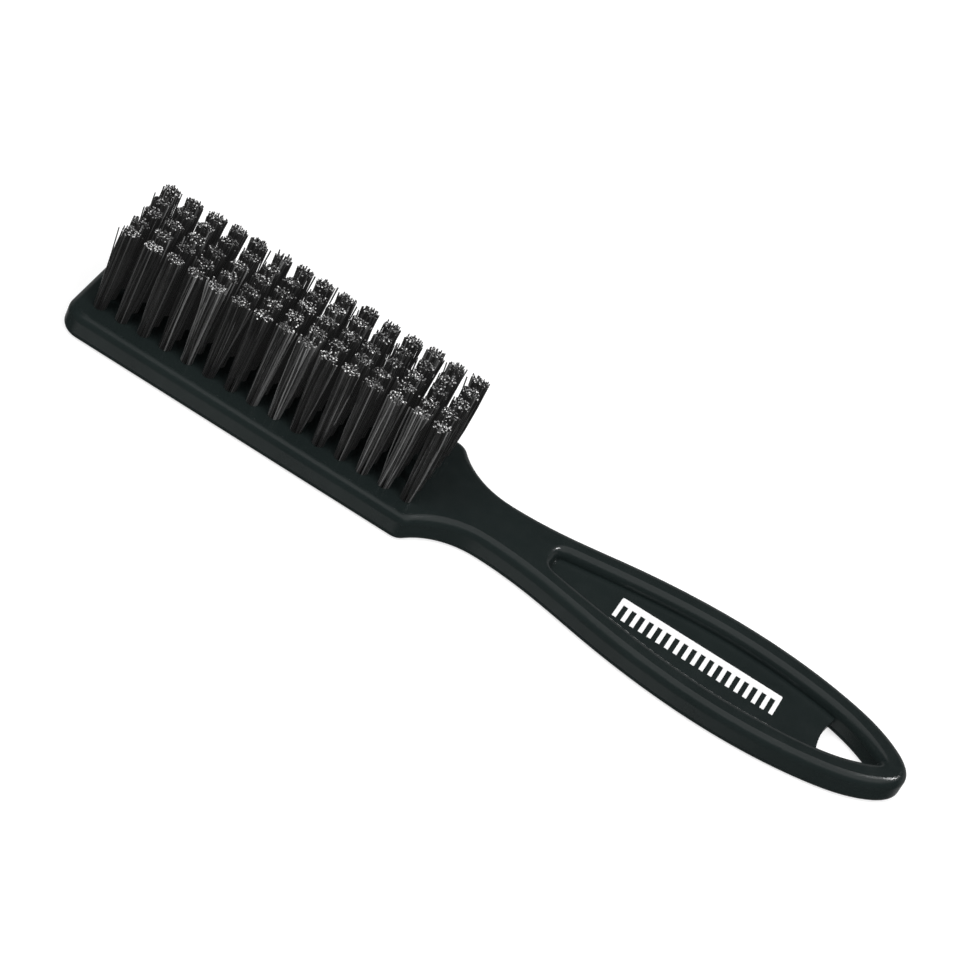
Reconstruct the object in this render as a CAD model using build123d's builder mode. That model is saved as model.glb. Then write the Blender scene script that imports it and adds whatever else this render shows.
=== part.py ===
from build123d import *
import os

# Fade brush: a one-piece moulded body with a tufted head, a waisted neck and a long rimmed handle.
# Millimetres. +X runs from the head to the handle's tip, +Z is the direction of the bristles.
# The brush lies on its back on Z = 0, and the origin is under the middle of its bounding box.

# ---- Driving dimensions -------------------------------------------------------------------
overall_length = 184.0
body_thickness = 6.0

# Head block
head_width = 29.2
head_corner_radius = 4.5
shoulder_x = -13.9           # where the head's side ends and the neck begins
shoulder_radius = 3.5
outer_edge_radius = 1.7      # all round the body, top and bottom

# Neck and grip
neck_x = 0.0
neck_width = 13.8
neck_flare_radius = 16.3     # concave flare between neck and head
grip_flank_x = 26.0
grip_flank_width = 21.7
grip_widest_x = 53.0
grip_width = 27.46
grip_taper_x = 76.0
grip_taper_width = 22.1
grip_nose_x = 87.0
grip_nose_width = 13.2

# Pockets in the handle, one on each side of a thin web, inside a raised rim
rim_width = 5.6              # from the outer wall to the pocket wall
pocket_depth = 2.2
pocket_start_x = 13.0
pocket_stations = (0.1, 0.3, 0.5, 0.7, 0.85)  # along the grip's outline, where its inset is taken
pocket_corner_radius = 2.0
pocket_apex_radius = 0.8
rim_edge_radius = 1.8
hang_hole_x = 73.8           # middle of the arc where the web ends
hang_hole_arc_radius = 20.0

# Gate vestige on the outer wall
gate_x = 39.2
gate_length = 1.2
gate_height = 0.8
gate_proud = 0.25
gate_inset = 0.78            # how far the wall at the gate is inside the grip's widest line

# Tufts: bundles of filament folded in two over a flat wire staple in a blind hole
tuft_columns = 15
tuft_rows = 5
column_pitch = 5.0
row_pitch = 4.4
first_column_inset = 5.2     # from the head's end to the first column
tuft_hole_diameter = 2.6
tuft_hole_depth = 4.4
tuft_root_diameter = 2.5
tuft_top_diameter = 4.1
tuft_free_length = 19.8
tuft_root_floor_gap = 0.2
fold_radius = 0.9
tuft_tip_radius = 0.35

staple_width = 3.3
staple_height = 1.4
staple_thickness = 0.4
staple_floor_gap = 0.7       # between the hole's floor and the staple
leg_gap_height = 1.6         # the wedge-shaped gap between the two legs above the staple

# Printed mark on the web: a plain comb shape
mark_thickness = 0.08
mark_x = 46.0
mark_length = 36.0
mark_spine_height = 1.9
mark_tooth_length = 3.8
mark_tooth_width = 0.9
mark_teeth = 19
mark_corner_radius = 0.4

# ---- Derived places -----------------------------------------------------------------------
head_end_x = -overall_length / 2
tip_x = overall_length / 2
face_z = body_thickness
web_top_z = body_thickness - pocket_depth
hole_floor_z = face_z - tuft_hole_depth
first_column_x = head_end_x + first_column_inset
tuft_field_x = first_column_x + column_pitch * (tuft_columns - 1) / 2
staple_z = hole_floor_z + staple_floor_gap
mark_tooth_pitch = (mark_length - mark_tooth_width) / (mark_teeth - 1)
ON_FLOOR = (Align.CENTER, Align.CENTER, Align.MIN)

os.makedirs("parts", exist_ok=True)


def column_x(column):
    return first_column_x + column * column_pitch


def column_places(column):
    """The five tuft places of one column, across the head."""
    return [(column_x(column), row_pitch * (row - (tuft_rows - 1) / 2)) for row in range(tuft_rows)]


# ---- Outlines of the body, the pocket inside the rim, and the hang hole --------------------
with BuildLine() as grip_line:
    Spline(
        (neck_x, neck_width / 2),
        (grip_flank_x, grip_flank_width / 2),
        (grip_widest_x, grip_width / 2),
        (grip_taper_x, grip_taper_width / 2),
        (grip_nose_x, grip_nose_width / 2),
        (tip_x, 0),
        tangents=[(1, 0), (0, -1)],
    )
grip_curve = grip_line.edge()


def inset_from_grip(along):
    """The point one rim width inside the grip's outline, at a fraction of its length."""
    inward = (grip_curve % along).rotate(Axis.Z, -90)
    return grip_curve @ along + inward * rim_width


with BuildSketch() as body_outline:
    with BuildLine():
        end = Line((head_end_x, 0), (head_end_x, head_width / 2))
        side = Line(end @ 1, (shoulder_x, head_width / 2))
        RadiusArc(side @ 1, (neck_x, neck_width / 2), -neck_flare_radius)
        add(grip_curve)
        mirror(about=Plane.XZ)
    make_face()
    fillet(body_outline.vertices().group_by(Axis.X)[0], head_corner_radius)
    shoulders = body_outline.vertices().filter_by(lambda v: abs(v.X - shoulder_x) < 0.01)
    fillet(shoulders, shoulder_radius)

with BuildSketch() as pocket_outline:
    with BuildLine():
        flank = Spline(*[inset_from_grip(along) for along in pocket_stations], (tip_x - rim_width, 0))
        Line(flank @ 0, (pocket_start_x, 0))
        mirror(about=Plane.XZ)
    make_face()
    with Locations((pocket_start_x, 0)):
        Rectangle(overall_length, grip_width, align=(Align.MIN, Align.CENTER), mode=Mode.INTERSECT)
    fillet(pocket_outline.vertices().group_by(Axis.X)[0], pocket_corner_radius)
    fillet(pocket_outline.vertices().group_by(Axis.X)[-1], pocket_apex_radius)

with BuildSketch() as web_outline:
    add(pocket_outline.sketch)
    with Locations((hang_hole_x + hang_hole_arc_radius, 0)):
        Circle(hang_hole_arc_radius, mode=Mode.SUBTRACT)
        Rectangle(overall_length, grip_width, align=(Align.MIN, Align.CENTER), mode=Mode.SUBTRACT)

# ---- Body ---------------------------------------------------------------------------------
with BuildPart() as handle_body:
    with BuildSketch():
        add(body_outline.sketch)
    extrude(amount=body_thickness)
    fillet(handle_body.faces().sort_by(Axis.Z)[-1].edges(), outer_edge_radius)
    fillet(handle_body.faces().sort_by(Axis.Z)[0].edges(), outer_edge_radius)

    # The pocket is cut right through, its mouths are rounded, and the web fills its middle.
    with BuildSketch():
        add(pocket_outline.sketch)
    extrude(amount=body_thickness, mode=Mode.SUBTRACT)
    fillet(handle_body.faces().sort_by(Axis.Z)[-1].inner_wires()[0].edges(), rim_edge_radius)
    fillet(handle_body.faces().sort_by(Axis.Z)[0].inner_wires()[0].edges(), rim_edge_radius)
    with BuildSketch(Plane.XY.offset(pocket_depth)):
        add(web_outline.sketch)
    extrude(amount=web_top_z - pocket_depth)

    # Gate vestige at half thickness
    with Locations((gate_x, grip_width / 2 - gate_inset, body_thickness / 2)):
        Box(gate_length, 2 * gate_proud, gate_height)

    # Blind tuft holes, and the notches that the staples bite into on either side of each hole
    with Locations((tuft_field_x, 0, face_z)):
        with GridLocations(column_pitch, row_pitch, tuft_columns, tuft_rows):
            Hole(tuft_hole_diameter / 2, depth=tuft_hole_depth)
    with Locations((tuft_field_x, 0, staple_z)):
        with GridLocations(column_pitch, row_pitch, tuft_columns, tuft_rows):
            Box(staple_thickness, staple_width, staple_height, align=ON_FLOOR, mode=Mode.SUBTRACT)

handle_body.part.label = "handle_body"
export_step(handle_body.part, "parts/handle_body.step")

# ---- Bristle tufts: one node for each column of five ---------------------------------------
with BuildPart() as tuft:
    with BuildSketch(Plane.XZ) as bundle_profile:
        with BuildLine():
            Polyline(
                (0, hole_floor_z + tuft_root_floor_gap),
                (tuft_root_diameter / 2, hole_floor_z + tuft_root_floor_gap),
                (tuft_root_diameter / 2, face_z),
                (tuft_top_diameter / 2, face_z + tuft_free_length),
                (0, face_z + tuft_free_length),
                close=True,
            )
        make_face()
        fillet(bundle_profile.vertices().group_by(Axis.Y)[0].sort_by(Axis.X)[-1], fold_radius)
        fillet(bundle_profile.vertices().group_by(Axis.Y)[-1].sort_by(Axis.X)[-1], tuft_tip_radius)
    revolve(axis=Axis.Z)

    # The slot for the staple, closing to a line where the two legs of the bundle meet above it
    with BuildSketch(Plane.XZ.offset(-tuft_root_diameter)):
        with BuildLine():
            Polyline(
                (-staple_thickness / 2, staple_z),
                (staple_thickness / 2, staple_z),
                (staple_thickness / 2, staple_z + staple_height),
                (0, staple_z + staple_height + leg_gap_height),
                (-staple_thickness / 2, staple_z + staple_height),
                close=True,
            )
        make_face()
    extrude(amount=2 * tuft_root_diameter, mode=Mode.SUBTRACT)

for column in range(tuft_columns):
    with BuildPart() as tuft_column:
        with Locations(*column_places(column)):
            add(tuft.part)
    tuft_column.part.label = f"tuft_column_{column + 1:02d}"
    export_step(tuft_column.part, f"parts/{tuft_column.part.label}.step")

# ---- Staples: one node for each column of five ---------------------------------------------
for column in range(tuft_columns):
    with BuildPart() as staple_column:
        with Locations(*[(x, y, staple_z) for x, y in column_places(column)]):
            Box(staple_thickness, staple_width, staple_height, align=ON_FLOOR)
    staple_column.part.label = f"staple_column_{column + 1:02d}"
    export_step(staple_column.part, f"parts/{staple_column.part.label}.step")

# ---- Printed mark: a plain comb ------------------------------------------------------------
with BuildPart() as printed_mark:
    with BuildSketch(Plane.XY.offset(web_top_z)) as comb:
        with Locations((mark_x, mark_tooth_length / 2)):
            RectangleRounded(mark_length, mark_spine_height, mark_corner_radius)
        with Locations((mark_x, -mark_spine_height / 2)):
            with GridLocations(mark_tooth_pitch, 0, mark_teeth, 1):
                Rectangle(mark_tooth_width, mark_tooth_length + 2 * mark_corner_radius)
    extrude(amount=mark_thickness)
printed_mark.part.label = "printed_mark"
export_step(printed_mark.part, "parts/printed_mark.step")
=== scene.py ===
import math
import random

import bpy
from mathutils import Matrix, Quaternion, Vector


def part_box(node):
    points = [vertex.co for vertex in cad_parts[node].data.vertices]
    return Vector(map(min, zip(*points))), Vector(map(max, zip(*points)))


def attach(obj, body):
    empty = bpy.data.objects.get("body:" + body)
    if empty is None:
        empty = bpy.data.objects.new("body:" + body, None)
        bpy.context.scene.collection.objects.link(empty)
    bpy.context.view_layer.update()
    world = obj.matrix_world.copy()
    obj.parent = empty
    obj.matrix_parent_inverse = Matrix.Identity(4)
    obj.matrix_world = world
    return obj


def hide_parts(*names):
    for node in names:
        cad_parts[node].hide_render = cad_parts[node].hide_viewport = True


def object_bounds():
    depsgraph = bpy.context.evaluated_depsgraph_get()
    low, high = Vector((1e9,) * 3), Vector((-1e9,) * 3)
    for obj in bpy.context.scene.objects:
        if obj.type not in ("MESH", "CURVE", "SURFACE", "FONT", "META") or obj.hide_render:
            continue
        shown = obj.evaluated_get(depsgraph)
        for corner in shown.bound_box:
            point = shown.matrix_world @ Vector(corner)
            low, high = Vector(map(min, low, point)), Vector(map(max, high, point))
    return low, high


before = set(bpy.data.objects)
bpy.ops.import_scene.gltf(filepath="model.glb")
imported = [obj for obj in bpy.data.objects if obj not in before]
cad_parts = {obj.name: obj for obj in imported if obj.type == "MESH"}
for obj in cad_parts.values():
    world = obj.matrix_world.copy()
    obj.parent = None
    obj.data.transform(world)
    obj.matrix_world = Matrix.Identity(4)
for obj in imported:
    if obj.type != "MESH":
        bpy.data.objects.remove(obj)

MM = 0.001

WHITE = (1, 1, 1, 1)
NOISE_LOW = 0.3        # most of a noise's values are between these two
NOISE_HIGH = 0.7

# Camera
CAMERA_TARGET = Vector((-7.77, 7.38, 6.0)) * MM
CAMERA_DISTANCE = 711 * MM
CAMERA_AZIMUTH = 6.94
CAMERA_ELEVATION = 39.74
CAMERA_ROLL = 27.57
CAMERA_LENS_MM = 137.5
CAMERA_SENSOR_MM = 36
CAMERA_NEAR = 10 * MM
CAMERA_FAR = 20.0

# Floor, its size in metres
FLOOR_SIZE = 30.0
FLOOR_DROP = 0.05 * MM
FLOOR_GREY = 0.45
FLOOR_GLOW = 0.7

# Lamps: metres, degrees and watts
SOFTBOX_PLACE = (0.42, 0.08, 1.0)
SOFTBOX_WIDTH = 1.5
SOFTBOX_DEPTH = 1.5
SOFTBOX_POWER = 5.0
LAMP_DISTANCE = 1.2
FILL_AZIMUTHS = (-45, 58)
FILL_ELEVATION = 50
FILL_SIZE = 0.8
FILL_POWER = 9.0
GLINT_AZIMUTH = 140
GLINT_ELEVATION = 50
GLINT_SIZE = 0.10
GLINT_POWER = 2.8

# What gloss sees around the object. An edge is where the brightness starts to fade and where it is
# gone, as the part of a unit direction along one axis.
ROOM_GREY = 0.015
TABLE_GREY = 0.42
TABLE_BOTTOM = (-0.68, -0.74)
TABLE_TOP = (-0.55, -0.35)
TABLE_LEFT = (-0.35, -0.60)
TABLE_RIGHT = (-0.2, 0.35)
WALL_GREY = 0.30
WALL_NEAR = (0.6, 0.1)
WALL_TOP = (0.3, 0.45)
BACKDROP_GREY = 0.95

# Material slots of the bristle meshes
FILAMENT_SLOT = 0
CUT_END_SLOT = 1

# Filaments
ROWS = 5
FILAMENTS = 64         # in each tuft
FILAMENT_RADIUS = 0.125 * MM
FILAMENT_SIDES = 6
SPINE_STEPS = (0.0, 0.35, 0.68, 1.0)  # from the hole's mouth to the tip
GOLDEN_ANGLE = math.pi * (3 - math.sqrt(5))
HOLE_RADIUS = 1.3 * MM
ROOT_DEPTH = 3.4 * MM  # the filaments end beside the staple
LOBE_GAP = 0.68 * MM   # leaves room for the staple between a tuft's two legs
FLARE = 0.85           # under 1, a tuft spreads most near its foot
BOW = 0.18 * MM        # spread of how far a filament bows at half its length
TUFT_LEAN = 0.18 * MM  # spread of a tuft's lean, at its top
REAR_LEAN = 0.35 * MM  # mean lean towards +Y

# Their tips
TIP_UNEVEN = 0.9 * MM  # from the cut down to the shortest tips
TIP_BIAS = 1.5         # over 1, most tips are near the cut
TIP_SCATTER = 0.12 * MM  # spread of a tip's place
TIP_FLATTEN = 0.70     # a tuft's top across the head, over its length along the head
STRAY_SHARE = 0.06     # of the filaments stand out of their tuft
STRAY_REACH = 1.1 * MM
STRAY_LEAST = 0.3      # of the reach
CUT_BURR = 1.05        # smallest radius of a cut end, over the filament's
LARGEST_BURR = 1.5
BURR_BIAS = 2          # over 1, most cut ends are near the smallest
CUT_SLANT = 0.35       # spread of a cut end's slope

# How pale each filament is, a painted highlight along it, and how white its cut end is, a painted
# glint, from 0 to 1: the range of a tuft's mean, and the spread about it
PAINTED_SHEEN = "painted_sheen"
PAINTED_GLINT = "painted_glint"
# The front row is painted lit, paler and with whiter cut ends; the inner rows are painted in shade
LIT_FRONT_ROW = {PAINTED_SHEEN: (0.20, 0.64), PAINTED_GLINT: (0.30, 0.60)}
SHADED_INNER_ROWS = {PAINTED_SHEEN: (0.0, 0.30), PAINTED_GLINT: (0.15, 0.45)}
LOOK_SPREAD = {PAINTED_SHEEN: 0.3, PAINTED_GLINT: 0.25}
# A faint white glow on every filament: painted light that lifts the shade between the tufts
FILAMENT_PAINTED_GLOW = 0.006


def grey(level):
    return (level, level, level)


def towards(azimuth, elevation):
    """Unit vector from the object; azimuth 0 is in front of it and 90 at the handle's tip."""
    turn = math.radians(azimuth)
    rise = math.radians(elevation)
    level = math.cos(rise)
    return Vector((math.sin(turn) * level, -math.cos(turn) * level, math.sin(rise)))


def add_object(name, data):
    thing = bpy.data.objects.new(name, data)
    bpy.context.collection.objects.link(thing)
    return thing


def make_camera():
    data = bpy.data.cameras.new("camera")
    data.sensor_width = CAMERA_SENSOR_MM
    data.lens = CAMERA_LENS_MM
    data.clip_start = CAMERA_NEAR
    data.clip_end = CAMERA_FAR
    camera = add_object("camera", data)
    back = towards(CAMERA_AZIMUTH, CAMERA_ELEVATION)
    roll = Quaternion((0, 0, 1), math.radians(CAMERA_ROLL))
    camera.location = CAMERA_TARGET + CAMERA_DISTANCE * back
    camera.rotation_mode = "QUATERNION"
    camera.rotation_quaternion = back.to_track_quat("Z", "Y") @ roll
    bpy.context.scene.camera = camera


class Shader:
    """A Principled material with the few procedural nodes that this object's surfaces share."""

    def __init__(self, name, **constants):
        self.material = bpy.data.materials.new(name)
        self.material.use_nodes = True
        self.nodes = self.material.node_tree.nodes
        self.links = self.material.node_tree.links
        self.surface = self.nodes["Principled BSDF"]
        for socket, value in constants.items():
            self.surface.inputs[socket.replace("_", " ")].default_value = value

    def noise(self, size, stretch=(1, 1, 1), detail=2.0):
        """Noise whose features are about size metres across, longer along each axis by stretch."""
        coordinates = self.nodes.new("ShaderNodeTexCoord")
        mapping = self.nodes.new("ShaderNodeMapping")
        mapping.inputs["Scale"].default_value = [1 / (size * s) for s in stretch]
        texture = self.nodes.new("ShaderNodeTexNoise")
        texture.inputs["Scale"].default_value = 1.0
        texture.inputs["Detail"].default_value = detail
        self.links.new(coordinates.outputs["Object"], mapping.inputs["Vector"])
        self.links.new(mapping.outputs["Vector"], texture.inputs["Vector"])
        return texture.outputs["Fac"]

    def stored(self, name):
        """A number that the mesh holds for each filament."""
        reader = self.nodes.new("ShaderNodeAttribute")
        reader.attribute_name = name
        return reader.outputs["Fac"]

    def colours(self, value, *stops):
        """Turns a value into the base colour, by stops of (position, colour)."""
        ramp = self.nodes.new("ShaderNodeValToRGB")
        elements = ramp.color_ramp.elements
        while len(elements) < len(stops):
            elements.new(1.0)
        for element, (position, colour) in zip(elements, stops):
            element.position = position
            element.color = (*colour, 1)
        self.links.new(value, ramp.inputs["Fac"])
        self.links.new(ramp.outputs["Color"], self.surface.inputs["Base Color"])

    def spread(self, value, low, high):
        """Stretches a noise to the range low to high."""
        span = self.nodes.new("ShaderNodeMapRange")
        span.inputs["From Min"].default_value = NOISE_LOW
        span.inputs["From Max"].default_value = NOISE_HIGH
        span.inputs["To Min"].default_value = low
        span.inputs["To Max"].default_value = high
        self.links.new(value, span.inputs["Value"])
        return span.outputs["Result"]

    def roughness(self, value, low, high):
        """Lets the roughness follow a noise, from low to high."""
        self.links.new(self.spread(value, low, high), self.surface.inputs["Roughness"])

    def glow(self, strength):
        """Adds a constant white glow."""
        self.surface.inputs["Emission Color"].default_value = WHITE
        self.surface.inputs["Emission Strength"].default_value = strength

    def bump(self, *layers):
        """Stacks bumps, each a (height value, depth in metres)."""
        below = None
        for value, depth in layers:
            bump = self.nodes.new("ShaderNodeBump")
            bump.inputs["Distance"].default_value = depth
            self.links.new(value, bump.inputs["Height"])
            if below is not None:
                self.links.new(below, bump.inputs["Normal"])
            below = bump.outputs["Normal"]
        self.links.new(below, self.surface.inputs["Normal"])


def moulded_plastic():
    """Satin black plastic with a green cast, faintly uneven from the mould."""
    shader = Shader("moulded_plastic", Specular_IOR_Level=0.4)
    shader.colours(
        shader.noise(14 * MM, detail=3),
        (NOISE_LOW, (0.0100, 0.0144, 0.0142)),
        (NOISE_HIGH, (0.0122, 0.0174, 0.0170)),
    )
    shader.roughness(shader.noise(2.5 * MM, detail=4), 0.20, 0.27)
    shader.bump((shader.noise(9 * MM), 0.02 * MM), (shader.noise(0.25 * MM, detail=3), 0.002 * MM))
    return shader.material


def nylon():
    """Black filament with drawn lines along it, painted paler in some tufts than in others as a painted
    highlight.

    It has a faint constant white glow, painted light that lifts the shade between the tufts.
    """
    shader = Shader("nylon", Specular_IOR_Level=0.5)
    # Painted light: a constant glow on the filaments
    shader.glow(FILAMENT_PAINTED_GLOW)
    # Base colour from near black to pale grey by the painted highlight that each filament holds
    shader.colours(shader.stored(PAINTED_SHEEN), (0.0, grey(0.004)), (0.5, grey(0.017)), (1.0, grey(0.140)))
    shader.roughness(shader.noise(0.2 * MM, stretch=(1, 1, 30)), 0.18, 0.34)
    shader.bump((shader.noise(0.08 * MM, stretch=(1, 1, 40)), 0.004 * MM))
    return shader.material


def cut_nylon():
    """Cut filament ends: most are painted white as a glint, a painted highlight; some are left dark."""
    shader = Shader("cut_nylon", Specular_IOR_Level=0.5)
    # Base colour white where the cut end holds a strong painted glint, dark where it holds none
    shader.colours(shader.stored(PAINTED_GLINT), (0.0, grey(0.03)), (0.4, grey(0.20)), (0.7, grey(0.90)))
    shader.roughness(shader.noise(0.1 * MM), 0.35, 0.55)
    shader.bump((shader.noise(0.05 * MM), 0.01 * MM))
    return shader.material


def white_ink():
    """Printed white ink, slightly mottled."""
    shader = Shader("white_ink", Specular_IOR_Level=0.3)
    shader.colours(shader.noise(0.6 * MM, detail=4), (0.3, grey(0.86)), (0.6, grey(0.95)))
    shader.roughness(shader.noise(0.4 * MM), 0.4, 0.55)
    shader.bump((shader.noise(0.15 * MM, detail=3), 0.004 * MM))
    return shader.material


def drawn_steel():
    """Flat staple wire, with lines along the way it was drawn."""
    shader = Shader("drawn_steel", Metallic=1.0)
    shader.colours(
        shader.noise(0.2 * MM, stretch=(1, 12, 1)),
        (NOISE_LOW, (0.42, 0.42, 0.43)),
        (NOISE_HIGH, (0.60, 0.60, 0.61)),
    )
    shader.roughness(shader.noise(0.1 * MM, stretch=(1, 20, 1)), 0.25, 0.45)
    shader.bump((shader.noise(0.08 * MM, stretch=(1, 20, 1)), 0.003 * MM))
    return shader.material


def pale_floor():
    """Plain matt grey, lifted almost to white by its own glow."""
    shader = Shader("pale_floor", Roughness=0.9, Specular_IOR_Level=0.0)
    shader.surface.inputs["Base Color"].default_value = (*grey(FLOOR_GREY), 1)
    shader.glow(FLOOR_GLOW)
    return shader.material


def repaint(node, material):
    """Gives a CAD node a finished material in every slot."""
    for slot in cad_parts[node].material_slots:
        slot.material = material


class TubeMesh:
    """Collects closed round filaments into one mesh, with their cut ends on a second material."""

    def __init__(self):
        self.points = []
        self.faces = []
        self.slots = []
        self.looks = {PAINTED_SHEEN: [], PAINTED_GLINT: []}

    def ring(self, centre, radius, slant=(0, 0)):
        """Adds a ring of points, level or sloping by slant along X and Y, and returns their numbers."""
        first = len(self.points)
        for side in range(FILAMENT_SIDES):
            angle = math.tau * side / FILAMENT_SIDES
            x = radius * math.cos(angle)
            y = radius * math.sin(angle)
            rise = x * slant[0] + y * slant[1]
            self.points.append((centre.x + x, centre.y + y, centre.z + rise))
        return list(range(first, first + FILAMENT_SIDES))

    def filament(self, spine, burr, slant, look):
        """Adds a closed tube along spine, whose cut end has the radius burr and slopes by slant."""
        rings = [self.ring(point, FILAMENT_RADIUS) for point in spine[:-1]]
        rings.append(self.ring(spine[-1], burr, slant))
        for lower, upper in zip(rings, rings[1:]):
            for side in range(FILAMENT_SIDES):
                after = (side + 1) % FILAMENT_SIDES
                self.face((lower[side], lower[after], upper[after], upper[side]), FILAMENT_SLOT)
        self.face(rings[0][::-1], FILAMENT_SLOT)
        self.face(rings[-1], CUT_END_SLOT)
        for name, value in look.items():
            self.looks[name] += [value] * (len(rings) * FILAMENT_SIDES)

    def face(self, corners, slot):
        self.faces.append(corners)
        self.slots.append(slot)

    def build(self, name, materials):
        mesh = bpy.data.meshes.new(name)
        mesh.from_pydata(self.points, [], self.faces)
        for polygon, slot in zip(mesh.polygons, self.slots):
            polygon.material_index = slot
            polygon.use_smooth = len(polygon.vertices) < FILAMENT_SIDES  # the ends stay flat
        for material in materials:
            mesh.materials.append(material)
        for look, values in self.looks.items():
            mesh.attributes.new(look, "FLOAT", "POINT").data.foreach_set("value", values)
        return add_object(name, mesh)


def tuft_places(node):
    """The middle of each tuft in a column, the radius of its top and the height of its top."""
    low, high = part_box(node)
    radius = (high.x - low.x) / 2
    first = low.y + radius
    pitch = (high.y - low.y - 2 * radius) / (ROWS - 1)
    centres = [Vector(((low.x + high.x) / 2, first + pitch * row, 0)) for row in range(ROWS)]
    return centres, radius, high.z


def hole_place(across):
    """Where a filament stands in its hole: on its own side of the staple, inside the hole's wall."""
    limit = HOLE_RADIUS - FILAMENT_RADIUS
    inner = math.copysign(LOBE_GAP / 2, across.x)
    place = Vector((inner + across.x * (limit - LOBE_GAP / 2), across.y * limit, 0))
    return place * min(1, limit / place.length)


def sideways(chance, size):
    """A random level offset, with size as its standard deviation along X and along Y."""
    return Vector((chance.gauss(0, size), chance.gauss(0, size), 0))


def grow_tuft(tubes, centre, top_radius, mouth_height, top, look_ranges, chance):
    """One tuft: filaments packed in the hole on both sides of the staple, spreading to the cut top."""
    lean = Vector((chance.gauss(0, TUFT_LEAN), chance.gauss(REAR_LEAN, TUFT_LEAN), 0))
    turn = chance.uniform(0, math.tau)
    tuft_look = {name: chance.uniform(*look_range) for name, look_range in look_ranges.items()}
    tip_radius = top_radius - FILAMENT_RADIUS
    foot = centre + Vector((0, 0, mouth_height))
    for index in range(FILAMENTS):
        # Packed like the seeds of a sunflower
        reach = math.sqrt((index + 0.5) / FILAMENTS)
        angle = turn + index * GOLDEN_ANGLE
        across = Vector((math.cos(angle), math.sin(angle), 0)) * reach
        mouth = hole_place(across)
        tip = Vector((across.x, across.y * TIP_FLATTEN, 0)) * tip_radius + lean
        tip += sideways(chance, TIP_SCATTER)
        if chance.random() < STRAY_SHARE:
            tip += across.normalized() * chance.uniform(STRAY_LEAST, 1) * STRAY_REACH
        height = top - mouth_height - TIP_UNEVEN * chance.random() ** TIP_BIAS
        bend = sideways(chance, BOW)
        spine = [foot + mouth - Vector((0, 0, ROOT_DEPTH))]
        for step in SPINE_STEPS:
            bow = bend * math.sin(math.pi * step)
            spine.append(foot + mouth.lerp(tip, step**FLARE) + bow + Vector((0, 0, height * step)))
        slant = (chance.gauss(0, CUT_SLANT), chance.gauss(0, CUT_SLANT))
        thickening = CUT_BURR + (LARGEST_BURR - CUT_BURR) * chance.random() ** BURR_BIAS
        burr = FILAMENT_RADIUS * thickening
        # No corner of a slanted end is above the cut
        spine[-1].z = min(spine[-1].z, top - burr * (abs(slant[0]) + abs(slant[1])))
        look = {}
        for name, mean in tuft_look.items():
            look[name] = min(1, max(0, chance.gauss(mean, LOOK_SPREAD[name])))
        tubes.filament(spine, burr, slant, look)


def make_bristles():
    """Replaces each column of plain tufts by its separate filaments."""
    mouth_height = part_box("handle_body")[1].z
    materials = (nylon(), cut_nylon())
    columns = sorted(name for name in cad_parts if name.startswith("tuft_column"))
    for number, node in enumerate(columns, 1):
        chance = random.Random(number)
        tubes = TubeMesh()
        centres, radius, top = tuft_places(node)
        for row, centre in enumerate(centres):
            # The front row takes the painted light, the inner rows the painted shade
            look_ranges = SHADED_INNER_ROWS if row else LIT_FRONT_ROW
            grow_tuft(tubes, centre, radius, mouth_height, top, look_ranges, chance)
        piece = tubes.build(f"bristles_{number:02d}", materials)
        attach(piece, "root")
        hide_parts(node)


def finish_cad_nodes():
    """Gives the nodes that keep their CAD shape their finished materials."""
    repaint("handle_body", moulded_plastic())
    repaint("printed_mark", white_ink())
    steel = drawn_steel()
    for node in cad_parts:
        if node.startswith("staple_column"):
            repaint(node, steel)


def make_floor():
    """A square just under the object, which gloss doesn't see."""
    half = FLOOR_SIZE / 2
    corners = [(-half, -half), (half, -half), (half, half), (-half, half)]
    mesh = bpy.data.meshes.new("floor")
    mesh.from_pydata([(x, y, cad_low.z - FLOOR_DROP) for x, y in corners], [], [(0, 1, 2, 3)])
    mesh.materials.append(pale_floor())
    floor = add_object("floor", mesh)
    floor.visible_glossy = False


def make_softbox():
    """One large soft light overhead, on the handle's side, facing straight down."""
    light = bpy.data.lights.new("softbox", "AREA")
    light.shape = "RECTANGLE"
    light.size = SOFTBOX_WIDTH
    light.size_y = SOFTBOX_DEPTH
    light.energy = SOFTBOX_POWER
    softbox = add_object("softbox", light)
    softbox.location = SOFTBOX_PLACE
    softbox.visible_camera = False


def make_lamp(name, azimuth, elevation, size, power):
    """A square lamp that faces the object."""
    light = bpy.data.lights.new(name, "AREA")
    light.size = size
    light.energy = power
    lamp = add_object(name, light)
    back = towards(azimuth, elevation)
    lamp.location = back * LAMP_DISTANCE
    lamp.rotation_euler = back.to_track_quat("Z", "Y").to_euler()
    lamp.visible_camera = False
    return lamp


def make_lamps():
    """Two soft fills that gloss doesn't see, and a small lamp that only gloss sees, for the tip."""
    for number, azimuth in enumerate(FILL_AZIMUTHS, 1):
        fill = make_lamp(f"fill_{number}", azimuth, FILL_ELEVATION, FILL_SIZE, FILL_POWER)
        fill.visible_glossy = False
    glint = make_lamp("glint", GLINT_AZIMUTH, GLINT_ELEVATION, GLINT_SIZE, GLINT_POWER)
    glint.visible_diffuse = False


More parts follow.
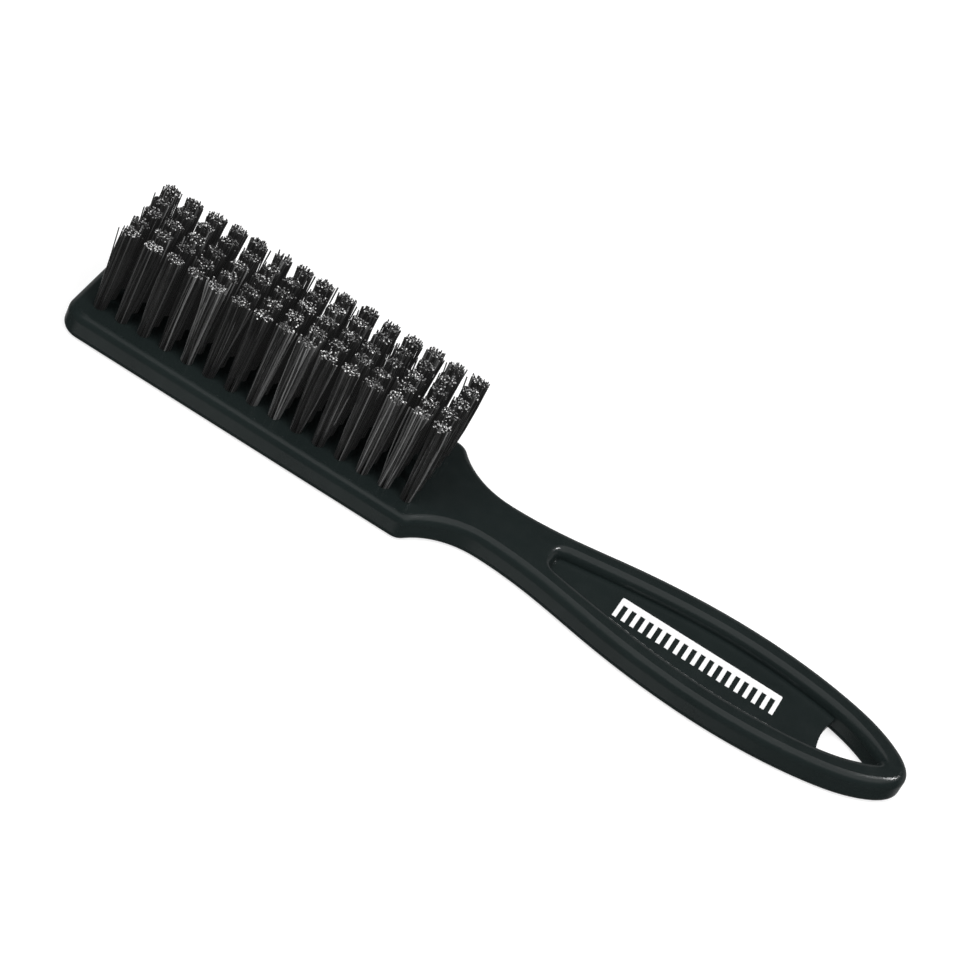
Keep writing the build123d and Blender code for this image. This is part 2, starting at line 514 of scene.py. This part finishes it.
def make_surround():
    """What gloss sees: a pale table below, left of the middle, a grey wall at the back, a dim room.

    Past the floor's edge the camera sees a pale backdrop.
    """
    world = bpy.data.worlds.new("surround")
    bpy.context.scene.world = world
    world.use_nodes = True
    nodes = world.node_tree.nodes
    links = world.node_tree.links
    direction = nodes.new("ShaderNodeSeparateXYZ")
    links.new(nodes.new("ShaderNodeTexCoord").outputs["Generated"], direction.inputs["Vector"])

    def fade(axis, edge):
        """1 on one side of an edge, 0 on the other and smooth between."""
        start, end = edge
        span = nodes.new("ShaderNodeMapRange")
        span.interpolation_type = "SMOOTHSTEP"
        span.inputs["From Min"].default_value = start
        span.inputs["From Max"].default_value = end
        span.inputs["To Min"].default_value = 1
        span.inputs["To Max"].default_value = 0
        links.new(direction.outputs[axis], span.inputs["Value"])
        return span.outputs["Result"]

    def maths(operation, first, second):
        """Adds or multiplies two values, each a number or a node's output."""
        node = nodes.new("ShaderNodeMath")
        node.operation = operation
        for socket, value in zip(node.inputs, (first, second)):
            if isinstance(value, float):
                socket.default_value = value
            else:
                links.new(value, socket)
        return node.outputs["Value"]

    height = maths("MULTIPLY", fade("Z", TABLE_BOTTOM), fade("Z", TABLE_TOP))
    width = maths("MULTIPLY", fade("X", TABLE_LEFT), fade("X", TABLE_RIGHT))
    table = maths("MULTIPLY", maths("MULTIPLY", height, width), TABLE_GREY)
    wall = maths("MULTIPLY", maths("MULTIPLY", fade("Y", WALL_NEAR), fade("Z", WALL_TOP)), WALL_GREY)
    room = nodes["Background"]
    room.inputs["Color"].default_value = WHITE
    links.new(maths("ADD", maths("ADD", table, wall), ROOM_GREY), room.inputs["Strength"])

    backdrop = nodes.new("ShaderNodeBackground")
    backdrop.inputs["Color"].default_value = (*grey(BACKDROP_GREY), 1)
    path = nodes.new("ShaderNodeLightPath")
    either = nodes.new("ShaderNodeMixShader")
    links.new(path.outputs["Is Camera Ray"], either.inputs["Fac"])
    links.new(room.outputs["Background"], either.inputs[1])
    links.new(backdrop.outputs["Background"], either.inputs[2])
    links.new(either.outputs["Shader"], nodes["World Output"].inputs["Surface"])


cad_low, cad_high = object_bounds()
bpy.context.scene.view_settings.view_transform = "Standard"
make_camera()
make_floor()
make_softbox()
make_lamps()
make_surround()
finish_cad_nodes()
make_bristles()
